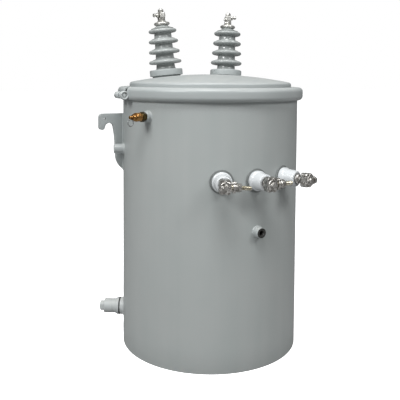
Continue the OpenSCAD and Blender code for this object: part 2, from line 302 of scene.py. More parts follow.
def turn(degrees, axis):
    return Matrix.Rotation(math.radians(degrees), 4, axis)


def on_wall(node):
    """Frame of a packed fitting on the wall: X along the wall, Y up, Z straight out."""
    angle, z = wall_place(node)
    return turn(angle, "Z") @ at(0, -TANK_R, z) @ turn(90, "X")

# %% [markdown]
# ## Welds
# Every boss is welded all round, and the bead shows as a soft, slightly rippled fillet
# under the paint. A ring is added at the boss's foot, its beads are swelled by place, and
# then it sinks until it lies on the curved wall, because the wall falls away to either
# side of a fitting's axis.

# %% Weld beads
def wall_at(x):
    """How far out the wall is, at a distance x to the side of its middle."""
    return math.sqrt(TANK_R ** 2 - x ** 2)


def weld_ring(name, r, thick=2.6, beads=26):
    """A rippled fillet round a boss of radius r, in the fitting's own frame."""
    piece = hoop(name, r, thick, beads * 4)
    for v in piece.data.vertices:
        around = math.atan2(v.co.y, v.co.x)
        out = Vector((math.cos(around), math.sin(around), 0)) * r * MM
        swell = 1 + 0.10 * abs(math.sin(around * beads / 2)) + 0.05 * math.sin(around * 3)
        v.co = out + (v.co - out) * swell
        v.co.z -= (TANK_R - wall_at(v.co.x / MM)) * MM
    return piece


def weld_line(name, length, thick=2.4, pitch=3.4):
    """A straight rippled bead along Z."""
    count = int(length / pitch)
    section = [(0, 0)]
    for i in range(count):
        z = length * i / count
        section += [(thick * 0.86, z + 0.15 * pitch), (thick, z + 0.5 * pitch),
                    (thick * 0.98, z + 0.7 * pitch)]
    return lathe(name, section + [(thick * 0.86, length - 0.1), (0, length)], 16)

# %% [markdown]
# ## Finishes
# The tank is sprayed with a light grey enamel: a satin film with a faint orange peel,
# slow streaks in its tone from top to bottom, a little dust on what faces up, and a
# thinner, paler film along the edges. The effects that several finishes share are node
# groups, each built once. They put out only masks and heights; the shader that uses them
# stays in its own material. All patterns read Object coordinates, in metres.

# %% Node helpers
def node(tree, kind, inputs=None, **settings):
    """Adds a shader node; an input is a number, a colour or another node's output."""
    made = tree.nodes.new("ShaderNode" + kind)
    for name, value in settings.items():
        setattr(made, name, value)
    for name, value in (inputs or {}).items():
        if isinstance(value, bpy.types.NodeSocket):
            tree.links.new(value, made.inputs[name])
        else:
            made.inputs[name].default_value = value
    return made


def drive(tree, target, **outputs):
    """Links outputs to a node's inputs; an underscore stands for a space in a name."""
    for label, output in outputs.items():
        tree.links.new(output, target.inputs[label.replace("_", " ")])


def new_group(name, inputs, outputs):
    """A node group with float inputs and outputs."""
    tree = bpy.data.node_groups.new(name, "ShaderNodeTree")
    number = "NodeSocketFloat"
    for label, value in inputs.items():
        made = tree.interface.new_socket(name=label, in_out="INPUT", socket_type=number)
        made.default_value = value
    for label in outputs:
        tree.interface.new_socket(name=label, in_out="OUTPUT", socket_type=number)
    goes_in = tree.nodes.new("NodeGroupInput").outputs
    return tree, goes_in, tree.nodes.new("NodeGroupOutput").inputs


def noise(tree, scale, detail=2.0, stretch=(1, 1, 1), rough=0.5):
    """Noise on Object coordinates; scale is in cycles a metre."""
    place = node(tree, "TexCoord").outputs["Object"]
    moved = node(tree, "Mapping", {"Vector": place, "Scale": stretch}).outputs[0]
    return node(tree, "TexNoise", {"Vector": moved, "Scale": scale, "Detail": detail,
                                   "Roughness": rough}).outputs[0]


def spread(tree, value, low, high, to_low=0.0, to_high=1.0):
    """Stretches a value's range from low..high to to_low..to_high."""
    return node(tree, "MapRange", {"Value": value, "From Min": low, "From Max": high,
                                   "To Min": to_low, "To Max": to_high}).outputs[0]


def calc(tree, what, a, b):
    """Arithmetic on two numbers or outputs."""
    return node(tree, "Math", {0: a, 1: b}, operation=what).outputs[0]


def blend(tree, mask, a, b):
    return node(tree, "Mix", {0: mask, 6: a, 7: b}, data_type="RGBA").outputs[2]

# %% [markdown]
# Four effects are shared. A sprayed film gives the peel and the slow changes of tone, dust
# settles on what faces up, a film is thin along sharp edges, and a casting's skin is
# grainy and patchy.

# %% Shared effects
film_group, goes_in, comes_out = new_group(
    "sprayed_film", {"Peel Scale": 420.0, "Streak": 0.5}, ["Peel", "Tone"])
peel = noise(film_group, goes_in["Peel Scale"])
streak = spread(film_group, noise(film_group, 24.0, 3.0, (1, 1, 0.06)), 0.3, 0.7)
cloud = spread(film_group, noise(film_group, 7.0, 2.0), 0.3, 0.7)
share = calc(film_group, "MULTIPLY", streak, goes_in["Streak"])
rest = calc(film_group, "MULTIPLY", cloud, calc(film_group, "SUBTRACT", 1.0, goes_in["Streak"]))
film_group.links.new(peel, comes_out["Peel"])
film_group.links.new(calc(film_group, "ADD", share, rest), comes_out["Tone"])

dust_group, goes_in, comes_out = new_group("settled_dust", {"Amount": 0.5}, ["Dust"])
facing = node(dust_group, "SeparateXYZ",
              {0: node(dust_group, "NewGeometry").outputs["Normal"]}).outputs["Z"]
up = spread(dust_group, facing, 0.25, 1.0)
patchy = spread(dust_group, noise(dust_group, 55.0, 5.0, rough=0.65), 0.35, 0.75)
both = calc(dust_group, "MULTIPLY", up, patchy)
dust_group.links.new(calc(dust_group, "MULTIPLY", both, goes_in["Amount"]), comes_out["Dust"])

wear_group, goes_in, comes_out = new_group(
    "thin_edges", {"Low": 0.515, "High": 0.56, "Break": 0.5}, ["Edge"])
sharp = node(wear_group, "NewGeometry").outputs["Pointiness"]
edge = spread(wear_group, sharp, goes_in["Low"], goes_in["High"])
broken = spread(wear_group, noise(wear_group, 240.0, 3.0), 0.35, 0.65)
keep = calc(wear_group, "SUBTRACT", 1.0, calc(wear_group, "MULTIPLY", goes_in["Break"], broken))
wear_group.links.new(calc(wear_group, "MULTIPLY", edge, keep), comes_out["Edge"])

metal_group, goes_in, comes_out = new_group(
    "cast_skin", {"Grain Scale": 900.0, "Patch Scale": 160.0}, ["Grain", "Patch"])
grain = noise(metal_group, goes_in["Grain Scale"], 4.0, rough=0.6)
patch = noise(metal_group, goes_in["Patch Scale"], 3.0)
metal_group.links.new(grain, comes_out["Grain"])
metal_group.links.new(spread(metal_group, patch, 0.35, 0.65), comes_out["Patch"])
print("shared effects:", [g.name for g in bpy.data.node_groups])

# %% [markdown]
# ## Materials
# Each material places the shared groups with its own values. Enamel and glaze are plain
# dielectrics; the glaze has a clear coat, because a glass layer lies over the coloured
# clay. Tin and brass are metals whose colour and gloss change in patches, as a dipped or
# handled casting's do. Colours are written as a paint chart gives them, 0 to 255.

# %% Materials
def chart(r, g, b):
    """A colour given in 0..255 screen values, as the linear colour that a shader takes."""
    def linear(v):
        v /= 255
        return v / 12.92 if v <= 0.04045 else ((v + 0.055) / 1.055) ** 2.4
    return linear(r), linear(g), linear(b), 1.0


def new_material(name, **constants):
    """A material with its shader; constants are set on the shader's own sockets."""
    material = bpy.data.materials.new(name)
    material.use_nodes = True
    tree = material.node_tree
    shader = tree.nodes["Principled BSDF"]
    for label, value in constants.items():
        shader.inputs[label.replace("_", " ")].default_value = value
    return material, tree, shader


def use(tree, group, **values):
    """Places a shared group in a material."""
    made = tree.nodes.new("ShaderNodeGroup")
    made.node_tree = group
    for label, value in values.items():
        made.inputs[label.replace("_", " ")].default_value = value
    return made.outputs


def bump(tree, shader, height, strength, deep):
    made = node(tree, "Bump", {"Height": height, "Strength": strength, "Distance": deep * MM})
    drive(tree, shader, Normal=made.outputs[0])


def layers(tree, tone, edge, settled, *tones):
    """Two tones that drift into each other, an edge tone over them, and dust on top."""
    tone_a, tone_b, edge_tone, dust_tone = (chart(*t) for t in tones)
    colour = blend(tree, edge, blend(tree, tone, tone_a, tone_b), edge_tone)
    return blend(tree, settled, colour, dust_tone)


def enamel(name, tone_a, tone_b, streak=0.2, dust=0.5):
    """Satin paint that drifts between two tones, paler along its edges."""
    satin, edge_tone, dust_tone = 0.34, (190, 195, 196), (196, 194, 186)
    material, tree, shader = new_material(name, IOR=1.5)
    film = use(tree, film_group, Peel_Scale=420.0, Streak=streak)
    settled = use(tree, dust_group, Amount=dust)["Dust"]
    edge = use(tree, wear_group, Low=0.52, High=0.6, Break=0.6)["Edge"]
    colour = layers(tree, film["Tone"], calc(tree, "MULTIPLY", edge, 0.45), settled,
                    tone_a, tone_b, edge_tone, dust_tone)
    rough = spread(tree, film["Tone"], 0.0, 1.0, satin, satin + 0.08)
    rough = calc(tree, "ADD", rough, calc(tree, "MULTIPLY", settled, 0.5))
    drive(tree, shader, Base_Color=colour, Roughness=rough)
    bump(tree, shader, film["Peel"], 0.12, 0.25)
    return material


def glaze(name, tone_a, tone_b, rim_tone):
    """Glazed porcelain under a clear coat, paler where the glaze runs thin on a rim."""
    dust, dust_tone, smoothest = 0.1, (205, 203, 196), 0.24
    material, tree, shader = new_material(name, IOR=1.52, Coat_Weight=0.3, Coat_Roughness=0.1)
    film = use(tree, film_group, Peel_Scale=160.0, Streak=0.25)
    rim = use(tree, wear_group, Low=0.52, High=0.62, Break=0.15)["Edge"]
    settled = use(tree, dust_group, Amount=dust)["Dust"]
    colour = layers(tree, film["Tone"], calc(tree, "MULTIPLY", rim, 0.6), settled,
                    tone_a, tone_b, rim_tone, dust_tone)
    rough = calc(tree, "ADD", calc(tree, "MULTIPLY", settled, 0.6), smoothest)
    drive(tree, shader, Base_Color=colour, Roughness=rough)
    bump(tree, shader, film["Peel"], 0.10, 0.3)
    return material


def bare_metal(name, bright, dull, gloss=(0.22, 0.48), grain=0.35, deep=0.3, scale=900.0):
    """Cast or turned metal: dull and bright patches, with its edges rubbed bright."""
    material, tree, shader = new_material(name, Metallic=1.0)
    skin = use(tree, metal_group, Grain_Scale=scale, Patch_Scale=170.0)
    edge = use(tree, wear_group, Low=0.51, High=0.58, Break=0.3)["Edge"]
    colour = blend(tree, skin["Patch"], chart(*bright), chart(*dull))
    colour = blend(tree, calc(tree, "MULTIPLY", edge, 0.6), colour, chart(*bright))
    rough = spread(tree, skin["Patch"], 0.0, 1.0, *gloss)
    drive(tree, shader, Base_Color=colour, Roughness=rough)
    bump(tree, shader, skin["Grain"], grain, deep)
    return material


tank_enamel = enamel("tank_enamel", (154, 160, 159), (162, 166, 165), 0.5, 0.3)
cover_enamel = enamel("cover_enamel", (154, 160, 160), (161, 166, 166), 0.1, 0.3)
fitting_enamel = enamel("fitting_enamel", (160, 166, 166), (170, 175, 175))
pale_enamel = enamel("pale_enamel", (174, 179, 179), (184, 188, 188))
grey_glaze = glaze("grey_glaze", (150, 155, 154), (159, 163, 162), (178, 182, 181))
white_glaze = glaze("white_glaze", (194, 198, 200), (201, 204, 206), (216, 218, 220))
tin = bare_metal("tin", (222, 220, 216), (118, 115, 110), (0.24, 0.46), 0.4, 0.35)
tin_bright = bare_metal("tin_bright", (224, 224, 220), (160, 159, 154), (0.32, 0.52), 0.4, 0.3)
tin_worn = bare_metal("tin_worn", (206, 204, 199), (108, 105, 100), (0.24, 0.5), 0.5)
zinc = bare_metal("zinc", (146, 149, 150), (96, 99, 100), grain=0.2, scale=1400.0)
bronze_rod = bare_metal("bronze_rod", (226, 221, 207), (160, 154, 136), (0.25, 0.4), 0.15)
brass_body = bare_metal("brass_body", (190, 145, 89), (102, 68, 32), (0.2, 0.45), 0.4)
brass_hex = bare_metal("brass_hex", (104, 88, 54), (66, 56, 36), (0.3, 0.5), 0.3)
dark_steel = bare_metal("dark_steel", (96, 96, 94), (58, 58, 57), (0.35, 0.6), 0.4)

# %% [markdown]
# The gaskets are black rubber: no gloss to speak of, a fine grain, and grey bloom in patches
# where the rubber has aged. The rings under the small bushings are grey, because spray drifted
# over them when the tank was painted, and their grey is darkened further with painted shade,
# which stands in for the shadow round the foot of each bushing.

# %% Rubber
def rubber_skin(name, tone_a, tone_b):
    material, tree, shader = new_material(name, IOR=1.45)
    skin = use(tree, metal_group, Grain_Scale=1500.0, Patch_Scale=220.0)
    bloom = blend(tree, skin["Patch"], chart(*tone_a), chart(*tone_b))
    rough = spread(tree, skin["Patch"], 0.0, 1.0, 0.6, 0.85)
    drive(tree, shader, Base_Color=bloom, Roughness=rough)
    bump(tree, shader, skin["Grain"], 0.3, 0.2)
    return material


rubber = rubber_skin("rubber", (34, 35, 36), (58, 59, 60))
# Painted shade: this grey is darker than the overspray alone would be, to stand in for the
# shadow round the foot of each small bushing.
grey_rubber_painted_shade = rubber_skin("grey_rubber_painted_shade", (100, 104, 103), (116, 120, 119))

# %% [markdown]
# ## Settling a piece
# Every finished piece goes through the same last step: it is put in its place with its object
# at the origin, shaded smooth except at sharp edges, given its finish and made to ride on the
# root body, and the imported nodes that it stands for are hidden.

# %% Settle
def paint(piece, *materials):
    """Gives a piece these materials in place of its own."""
    piece.data.materials.clear()
    for material in materials:
        piece.data.materials.append(material)


def settle(piece, place, material, slot, *nodes, smooth=35):
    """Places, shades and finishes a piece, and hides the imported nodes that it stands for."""
    move(piece, place)
    bpy.ops.object.shade_smooth_by_angle(angle=math.radians(smooth))
    if material:
        paint(piece, material)
    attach(piece, "root")
    if nodes:
        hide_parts(*nodes)
    size = " x ".join(f"{v / MM:.0f}" for v in piece.dimensions)
    print(f"{piece.name}: {size} mm, {len(piece.data.polygons)} faces")

# %% [markdown]
# ## The tank
# One rolled sheet, butt welded down the back and sheared square at the foot. It is a
# closed ring section spun in many steps, so that a long highlight stays smooth. The seam
# is ground almost flush and shows as a low bead.

# %% Tank wall and seam
TANK_STEPS = 192
wall_t, foot_round, rings = 3.0, 0.9, 12
shell = lathe("tank_shell", [
    (TANK_R - wall_t, 0), *arc(TANK_R - foot_round, foot_round, foot_round, -90, 0, 3),
    *[(TANK_R, TANK_H * i / rings) for i in range(1, rings + 1)],
    (TANK_R - wall_t, TANK_H), (TANK_R - wall_t, 0)], TANK_STEPS)
settle(shell, at(), tank_enamel, "tank_paint", "tank_wall")

seam_angle, seam_foot, seam_sink = 150, 3, 0.9
seam = weld_line("wall_seam", BAND_LOW - 2 * seam_foot, 1.9, 4.2)
settle(seam, turn(seam_angle, "Z") @ at(0, seam_sink - TANK_R, seam_foot), tank_enamel,
       "tank_paint")

# %% [markdown]
# ## The cover
# A spun dome that ends in a rounded shoulder, an upright side and an edge bead inside the
# clamp band. The outer line is drawn from the middle outwards, and the inner line comes
# back 3 mm below it, so that the cover is a closed sheet.

# %% Cover
dome_r, dome_rise, sheet_t = 232.0, 23.0, 3.0
shoulder, shoulder_round = COVER_TOP - dome_rise, 7
side_foot_round = 4
bead_r, bead_high, bead_low = BAND_R - 14, BAND_TOP - 5.4, BAND_TOP - 13.5
crown_r, crown_steps = dome_r - 8, 40


def dome_z(r):
    """Height of the dome at a distance r from the tank's axis."""
    return shoulder + dome_rise * (1 - (r / dome_r) ** 2)


crown = [crown_r * i / crown_steps for i in range(crown_steps + 1)]
cover_section = [(r, dome_z(r)) for r in crown]
cover_section += arc(dome_r - shoulder_round, shoulder - 6.2, shoulder_round, 70, 0, 8)
cover_section += arc(dome_r + side_foot_round, BAND_TOP - 1.5, side_foot_round, 180, 262, 5)
cover_section += [(bead_r, bead_high), (bead_r, bead_low), (dome_r - sheet_t, bead_low),
                  (dome_r - sheet_t, shoulder - shoulder_round)]
cover_section += [(r, dome_z(r) - sheet_t) for r in reversed(crown)]
cover = lathe("cover_pressing", cover_section, TANK_STEPS)
settle(cover, at(), cover_enamel, "tank_paint", "cover")

# %% [markdown]
# ## The clamp band
# A rolled C-shaped ring that grips the rim and the cover's bead. Its section is well
# rounded above and below, and it stops short of a full turn, which leaves the gap for the
# closing bolt. A spin of less than a full turn leaves its two ends open, so they are
# filled.

# %% Clamp band
band_t, band_round, gap = 2.5, 12.0, 14.0
lip_r, lip_edge, wall_gap = dome_r + 2.5, 0.6, 1
bend_r = BAND_R - band_round
bolt_angle, bolt_z = wall_place("band_bolt")
band_section = [(lip_r, BAND_TOP - band_t), (lip_r, BAND_TOP - lip_edge),
                (lip_r + lip_edge, BAND_TOP)]
band_section += arc(bend_r, BAND_TOP - band_round, band_round, 90, 0, 10)
band_section += arc(bend_r, BAND_LOW + band_round, band_round, 0, -90, 8)
band_section += [(TANK_R + wall_gap, BAND_LOW), (TANK_R + wall_gap, BAND_LOW + band_t)]
band_section += arc(bend_r, BAND_LOW + band_round, band_round - band_t, -90, 0, 6)
band_section += arc(bend_r, BAND_TOP - band_round, band_round - band_t, 0, 90, 8)
band_section += [band_section[0]]
half_gap = math.degrees(gap / 2 / BAND_R)
band = lathe("clamp_band_ring", band_section, TANK_STEPS - 4, bolt_angle - 90 + half_gap,
             360 - 2 * half_gap)
settle(band, at(), cover_enamel, "tank_paint", "clamp_band")

# %% [markdown]
# Each end of the band carries a drilled barrel on a short welded block, and one long bolt
# pulls the two together: a round head with a raised ring in front, a hexagon nut and the
# thread's end at the back.

# %% Band closure
bolt_r = BAND_R + 8
barrel_r, barrel_l, barrel_bore, barrel_edge = 9.5, 16.0, 5.3, 1.2
shank_r, head_r, tip_l = 4.7, 12, 14


def at_bolt():
    """Frame of the closing bolt: Z along it towards the front, X upwards, Y inwards."""
    return turn(bolt_angle, "Z") @ at(0, -bolt_r, bolt_z) @ turn(90, "Y")


for side, name in ((1, "band_lug_front"), (-1, "band_lug_rear")):
    middle, half = side * (gap + barrel_l) / 2, barrel_l / 2
    barrel = lathe(name + "_barrel", [
        (barrel_bore, -half), (barrel_r - barrel_edge, -half), (barrel_r, barrel_edge - half),
        (barrel_r, half - barrel_edge), (barrel_r - barrel_edge, half), (barrel_bore, half),
        (barrel_bore, -half)], 48)
    move(barrel, at(0, 0, middle))
    web = block("web", (2 * barrel_r - 1, 7, barrel_l - 2), (0, 5.2, middle), 2.0)
    carve(web, rod("cutter", 6, -60, 60))
    lug = weld_together(name + "_eye", barrel, web)
    settle(lug, at_bolt(), fitting_enamel, "tank_paint", name)

end = gap / 2 + barrel_l
bolt = lathe("band_bolt_threaded", [
    (0, -end - tip_l), (3.6, -end - tip_l),
    *thread(shank_r, -end - tip_l + 1, -end + 6, 1.5, 0.7), (shank_r, -end + 7),
    (shank_r, end), (head_r, end), (head_r, end + 1.8), (head_r - 1, end + 2.4),
    (head_r - 1, end + 5.6), *arc(9.6, end + 6.4, 1.4, 0, 180, 6), (7.4, end + 4.6),
    (5, end + 4.2), (4, end + 5.6), (0, end + 6.2)], 64)
settle(bolt, at_bolt(), fitting_enamel, "tank_paint", "band_bolt")
nut = hexagon("band_bolt_nut", 17, -end - 9, -end - 0.6, 4.4)
washer = lathe("washer", [(4.9, -end - 0.7), (9.4, -end - 0.7), (9.4, -end), (4.9, -end),
                          (4.9, -end - 0.7)], 48)
settle(weld_together("band_bolt_nut", nut, washer), at_bolt(), fitting_enamel, "tank_paint",
       "band_nut")

# %% [markdown]
# ## High-voltage bushings
# Each stands on a welded seat ring and leans outwards a little, so that the live ends are
# further apart. The porcelain is one turned shape: a core that narrows upwards, with four
# round-edged sheds that lengthen the path that a current would creep along.
# The cap's middle and the lean give each bushing's axis.

# %% High-voltage bushings
hv_lean, hv_pitch, hv_sheds = 5.6, 30.2, 4
seat_low, seat_high, seat_r, seat_foot_r = 3.5, 21.5, 48.0, 41
core_foot_r, core_narrows = 27.5, 3
shed_r, shed_taper, shed_lip = 47.4, 2.2, 4.8
hv_first = seat_high + 22.2
hv_top = hv_first + (hv_sheds - 1) * hv_pitch + 17
cap_tall, cap_round = 14.0, 4.3


def hv_place(name):
    """Frame of a high-voltage bushing: Z up its axis, from the dome's surface."""
    angle = wall_place(name + "_cap")[0]
    at_cap = at(*box_mm(name + "_cap")[2]) @ turn(angle, "Z") @ turn(hv_lean, "X")
    return at_cap @ at(0, 0, -hv_top - cap_tall / 2)


def shed(r, z):
    """One shed from below: flat underside, round rim and a slope back up to the core."""
    core = core_foot_r - core_narrows * z / hv_top
    return [(core, z - 7), (core + 0.8, z - 5.4), (core + 2.6, z - shed_lip),
            (core + 6, z - shed_lip), *arc(r - shed_lip, z, shed_lip, -90, 74, 9),
            (r - 9, z + 6.2), (core + 8, z + 7.8), (core + 3, z + 9.2),
            (core + 0.8, z + 10.4), (core, z + 12.5)]


def hv_porcelain(name):
    section = [(0, seat_high), (31, seat_high), (31, seat_high + 1.2), (28.8, seat_high + 2.6),
               (27.6, seat_high + 5)]
    for i in range(hv_sheds):
        section += shed(shed_r - shed_taper * i, hv_first + i * hv_pitch)
    del section[-3:]  # the top shed slopes straight into the neck
    section += [(26.5, hv_top - 7.4), (21.5, hv_top - 5), (17.6, hv_top - 2.4), (16.6, hv_top),
                (0, hv_top)]
    return lathe(name, section)


for name in ("h1", "h2"):
    place = hv_place(name)
    seat = lathe(name + "_seat_ring", [
        (0, -6), (seat_foot_r, -6), (seat_foot_r, seat_low), (seat_r - 2, seat_low),
        *arc(seat_r - 1.6, seat_low + 1.6, 1.6, -60, 0, 4),
        *arc(seat_r - 3, seat_high - 3, 3, 0, 80, 6), (35, seat_high + 0.3),
        (34, seat_high - 0.6), (32.4, seat_high - 0.9), (0, seat_high - 0.9)])
    settle(seat, place, cover_enamel, "tank_paint", name + "_flange")
    settle(hv_porcelain(name + "_sheds"), place, grey_glaze, "grey_porcelain",
           name + "_porcelain", smooth=50)
    cap = lathe(name + "_cap_ring", [
        (0, hv_top), (17.5, hv_top), *arc(18.6, hv_top + cap_round, cap_round, -85, 90, 9),
        (16.6, hv_top + 8.2), (15.6, hv_top + 8.8), (12.4, hv_top + 12.2), (11, hv_top + 13.4),
        (9.6, hv_top + cap_tall), (0, hv_top + cap_tall)], 72)
    settle(cap, place, tin_bright, "tinned_bronze", name + "_cap")

# %% [markdown]
# The clamp on each cap takes the line wire. A hexagon foot screws it to the bushing, the
# cast body holds the wire in a slot, a hexagon nut closes it from above and a pinch bolt
# passes through its side. The body is melted from a few blocks and then smoothed, which
# gives the soft corners of a sand casting.

# %% High-voltage clamps
hv_turn, hv_lift = {"h1": -45, "h2": -145}, {"h1": 0, "h2": 15}
pinch_z = 15.5


def hv_clamp(name, lift):
    """One clamp about its stem; the lift tips its pinch bolt up from X."""
    foot = hexagon(name + "_foot", 19, 0, 6.5, chamfer=1.2)
    jaw = cast("jaw", block("jaw", (17, 20, 10), (0, 0, 10), 2),
               block("cheek", (17, 7.6, 17), (0, 6.8, 16), 2),
               block("cheek", (17, 7.6, 17), (0, -6.8, 16), 2),
               rod("boss", 6.4, 3, 10), grain=0.7)
    stem = lathe("stem", [(0, 10), (3.9, 10), *thread(4.9, 10.5, 23, 1.5, 0.7), (4.9, 23.5),
                          (4.9, 33.6), (3.6, 35.2), (0, 35.5)], 32)
    pad = block("pad", (13, 13, 3), (0, 0, 22.4), 1.2)
    top = hexagon("top", 14, 24, 32.6, chamfer=1.6)
    pinch = lathe("pinch", [(0, -13.5), (2.6, -13.5), (3, -12.8), (3, -10), (5, -10), (5, -8.4),
                            (3, -8.4), (3, 9), *thread(3.1, 9, 19, 1.1, 0.5), (3.1, 19.5),
                            (5.1, 19.5), (5.6, 21), (5.1, 25.2), (3.8, 25.9), (0, 25.9)], 32)
    nut = hexagon("nut", 11, 10.4, 15.4, chamfer=0.8)
    for piece in (pinch, nut):
        move(piece, at(0, 0, pinch_z) @ turn(90 - lift, "Y"))
    return weld_together(name, foot, jaw, stem, pad, top, pinch, nut)


for name in ("h1", "h2"):
    place = hv_place(name) @ at(0, 0, hv_top + cap_tall) @ turn(hv_turn[name], "Z")
    settle(hv_clamp(name + "_wire_clamp", hv_lift[name]), place, tin_bright, "tinned_bronze",
           name + "_terminal", smooth=40)

# %% [markdown]
# ## Low-voltage bushings
# Three short white bushings look out of the front wall. Each has a rubber gasket on the
# wall, a porcelain with a stepped foot and a body that tapers to a flat nose, and a tinned
# stud with a round collar in the nose's recess.

# %% Low-voltage bushings
lv_len, lv_nose, lv_foot, gasket_l, gasket_r = 46.0, 21.0, 26.0, 2.0, 31.0
nose_round, mouth_r, mouth_round = 3.2, 15.6, 0.9
collar_r, collar_l, stud_r = 13.0, 9.0, 6.4
recess_z = lv_len - 2
clamp_mid = recess_z + collar_l + 13
clamp_out = {"x1": 4, "x2": 0, "x3": 8}


def lv_porcelain(name):
    return lathe(name, [
        (0, gasket_l), (lv_foot - 0.8, gasket_l),
        *arc(lv_foot - 1.2, gasket_l + 1.2, 1.2, -60, 0, 3),
        *arc(lv_foot - 2.5, 10.5, 2.5, 0, 62, 5), (lv_foot - 2.6, 13.6), (lv_foot - 3.0, 15),
        (23.1, 20), (lv_nose + 0.6, lv_len - 12),
        *arc(lv_nose - nose_round, lv_len - nose_round, nose_round, 8, 90, 7),
        (mouth_r, lv_len), *arc(mouth_r, lv_len - mouth_round, mouth_round, 90, 180, 3),
        (mouth_r - mouth_round, recess_z), (0, recess_z)])


for name in ("x1", "x2", "x3"):
    place = on_wall(name + "_porcelain")
    gasket = lathe(name + "_gasket_ring", [
        (0, -3), (gasket_r, -3), (gasket_r, 0.8), *arc(gasket_r - 1.2, 0.8, 1.2, 0, 90, 4),
        (0, gasket_l)], 72)
    # The gasket ring's dark grey is partly painted shade round the bushing's foot.
    settle(gasket, place, grey_rubber_painted_shade, "rubber", name + "_gasket")
    settle(lv_porcelain(name + "_body"), place, white_glaze, "white_porcelain",
           name + "_porcelain", smooth=40)
    top = recess_z + collar_l
    tip = top + 28.6 + clamp_out[name]
    stud = lathe(name + "_stud_collar", [
        (0, recess_z), (collar_r - 0.8, recess_z), (collar_r, recess_z + 0.8),
        (collar_r, top - 2.4), (collar_r - 1.6, top - 0.8), (10.6, top), (8.2, top),
        (stud_r, top + 1.4), (stud_r, tip - 2.6), (5.2, tip), (0, tip)], 64)
    settle(stud, place, tin, "tinned_bronze", name + "_stud")

# %% [markdown]
# Each stud carries an eyebolt clamp. A lobed casting grips the stud, two bars run from it
# to a lobed saddle that a hexagon nut presses home, and the bolt's thread runs on along
# the wall. The wire would lie between the casting and the saddle. Each clamp has its own
# place on its stud and its own droop.

# %% Low-voltage clamps
def lv_clamp(name, reach):
    """One clamp about its stud, with its eyebolt along X to a stated reach."""
    lobes = [move(rod("lobe", 7.6, -9, 9, 24), at(x, y)) for x in (-9, 5) for y in (11, -11)]
    body = cast(name, rod("eye", 13, -13, 11, 48), *lobes,
                block("back", (11, 26, 17), (-11, 0, 0), 2), grain=0.9, melt=3)
    ridge = cast("ridge", block("rib", (4.5, 33, 5), (-2, 0, 10.5), 1.5),
                 block("rib", (23, 4.5, 5), (-2, 0, 10.5), 1.5),
                 rod("hub", 7, 9, 14, 32), grain=0.8)
    along_x = turn(90, "Y")
    bars = [move(rod("bar", 3.4, 4, 20, 24), at(0, y) @ along_x) for y in (8.6, -8.6)]
    horns = [move(rod("horn", 6.8, 17.6, 24.6, 32), at(0, y) @ along_x) for y in (8.4, -8.4)]
    heart = move(rod("heart", 9.8, 18.2, 26, 40), along_x)
    saddle = cast("saddle", *horns, heart, grain=0.8)
    shank = lathe("shank", [
        (0, 4), (5.4, 4), (5.4, 20), *thread(5.6, 20.5, reach - 2, 1.8, 0.8),
        (4.4, reach - 0.8), (3.6, reach), (0, reach)], 40)
    washer = lathe("washer", [(0, 26), (10.8, 26), (11.3, 26.5), (11.3, 27.6), (10.8, 28.1),
                              (0, 28.1)], 48)
    nut = hexagon("nut", 19, 28.1, 38.8, chamfer=1.4)
    for piece in (shank, washer, nut):
        move(piece, along_x)
    paint(shank, bronze_rod)
    for piece in (body, ridge, saddle, washer, nut, *bars):
        paint(piece, tin_worn if piece in (nut, washer) else tin)
    return weld_together(name, body, ridge, saddle, shank, washer, nut, *bars)


for name, droop, reach in (("x1", 4, 64), ("x2", 1, 64), ("x3", 7, 44)):
    clamp = lv_clamp(name + "_eyebolt_clamp", reach)
    place = on_wall(name + "_porcelain") @ at(0, 0, clamp_mid + clamp_out[name])
    settle(clamp, place @ turn(-droop, "Z"), None, "tinned_bronze", name + "_clamp", smooth=40)

# %% [markdown]
# ## Pressure relief valve
# A weld boss near the top of the wall carries a brass valve that vents the tank: a hexagon
# foot, a turned body with two grooves, a stem and a wire pull ring that hangs from it.

# %% Relief valve
relief = on_wall("relief_boss")
boss_r, boss_l, edge_round = 13.5, 12, 1.4
boss = lathe("relief_weld_boss", [
    (0, -3), (boss_r, -3), (boss_r, boss_l - edge_round),
    *arc(boss_r - edge_round, boss_l - edge_round, edge_round, 0, 90, 4),
    (boss_r - 4, boss_l), (0, boss_l)], 64)
settle(weld_together("relief_weld_boss", boss, weld_ring("bead", boss_r + 0.1)), relief,
       fitting_enamel, "tank_paint", "relief_boss")
foot = hexagon("relief_valve_brass", 23, boss_l, 26.4, chamfer=1.2)
body = lathe("body", [
    (0, 26), (9.4, 26), (9.4, 27.4), (11.3, 28.2), (11.3, 33), (10.2, 33.8), (10.2, 35),
    (11.3, 35.8), (11.3, 40.8), (10.2, 41.6), (10.2, 42.6), (11.1, 43.4), (10.6, 45),
    (8, 45.6), (8, 52), (7, 53.6), (4.4, 54.2), (4.4, 57), (3.1, 57.8), (3.1, 60.2),
    (4.4, 61), (4.4, 62.6), (3.4, 63.8), (0, 64)], 56)
paint(foot, brass_hex)
paint(body, brass_body)
settle(weld_together("relief_valve_brass", foot, body), relief, None, "brass", "relief_valve")
ring = hoop("relief_pull_ring", 9, 1, 48)
edit(ring, "VERT")
pick(lambda v: v.co.y > 6.6 * MM, "verts")
bpy.ops.transform.resize(value=(0.8, 1, 1))
settle(ring, relief @ at(0, -13.4, 60) @ turn(90, "Y"), zinc, "zinc_plate", "relief_ring")

# %% [markdown]
# ## Lifting lugs
# A thick flame-cut plate on each side, welded to the wall edge-on. Its hook is open
# downwards, so a sling pulls up into the arch; the small hole takes a tag or a safety
# wire. The outline is closed to a face, extruded, drilled, and then all its edges are
# rounded, as a cutter's grinder leaves them.

